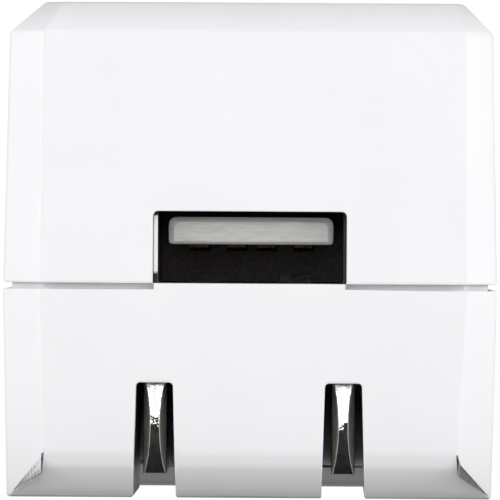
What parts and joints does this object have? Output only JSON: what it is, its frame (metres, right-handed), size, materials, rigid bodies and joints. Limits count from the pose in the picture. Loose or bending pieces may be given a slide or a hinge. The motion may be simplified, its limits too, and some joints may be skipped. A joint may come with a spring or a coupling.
{
  "type": "usb wall charger",
  "caption": "White cube wall charger with a USB A port in its front, a chamfered two-part case, and flat plug blades that fold into slots in its base.",
  "frame": {"origin": "middle of the case's outline, on the flat wall face that the blades fold into", "axes": "+X to the right and +Y to the back as the port is faced, +Z away from the wall face"},
  "size_m": [0.0334, 0.034, 0.0334],
  "materials": {
    "case_plastic": "fine moulded white, satin gloss",
    "rotor_plastic": "moulded white, slightly duller than the case",
    "clamp_plastic": "moulded natural white",
    "nickel_brass": "nickel-plated brass, sheared ends",
    "zinc_steel": "zinc-plated steel",
    "spring_bronze": "rolled phosphor bronze strip",
    "tinned_steel": "tin-plated steel sheet, cut edges bare",
    "tongue_plastic": "moulded light grey-white",
    "carrier_plastic": "moulded black",
    "gold_plate": "gold flash on bronze",
    "board_laminate": "green solder resist on glass-fibre laminate",
    "bobbin_plastic": "black phenolic",
    "winding_tape": "yellow polyester tape",
    "ferrite": "pressed and fired ferrite",
    "copper_wire": "enamelled copper wire",
    "capacitor_sleeve": "shrunk dark sleeve over an aluminium can",
    "disc_coating": "blue epoxy dip",
    "resistor_coating": "green flameproof coating",
    "package_epoxy": "black moulded epoxy",
    "barrier_sheet": "cream fibre insulation sheet"
  },
  "bodies": {
    "case": {"upper_case": "case_plastic", "lower_case": "case_plastic", "rotor_clamp": "clamp_plastic", "clamp_screw_left": "zinc_steel", "clamp_screw_right": "zinc_steel", "detent_spring": "spring_bronze", "contact_spring_left": "spring_bronze", "contact_spring_right": "spring_bronze", "usb_shell": "tinned_steel", "usb_tongue": "tongue_plastic", "usb_carrier": "carrier_plastic", "usb_contact_1": "gold_plate", "usb_contact_2": "gold_plate", "usb_contact_3": "gold_plate", "usb_contact_4": "gold_plate", "circuit_board": "board_laminate", "transformer_bobbin": "bobbin_plastic", "transformer_winding": "winding_tape", "transformer_core_front": "ferrite", "transformer_core_back": "ferrite", "bulk_capacitor_1": "capacitor_sleeve", "bulk_capacitor_2": "capacitor_sleeve", "output_capacitor_1": "capacitor_sleeve", "output_capacitor_2": "capacitor_sleeve", "filter_choke_core": "ferrite", "filter_choke_winding": "copper_wire", "fuse_resistor": "resistor_coating", "output_diode": "package_epoxy", "y_capacitor": "disc_coating", "controller_chip": "package_epoxy", "bridge_rectifier": "package_epoxy", "insulating_sheet": "barrier_sheet"},
    "prongs": {"prong_rotor": "rotor_plastic", "left_blade": "nickel_brass", "right_blade": "nickel_brass"}
  },
  "joints": [
    {"name": "prong_fold", "type": "hinge", "parent": "case", "child": "prongs", "pos_m": [0, 0.0078, 0.0048], "axis": [1, 0, 0], "range_deg": [0, 90], "deforming": ["detent_spring"]}
  ]
}
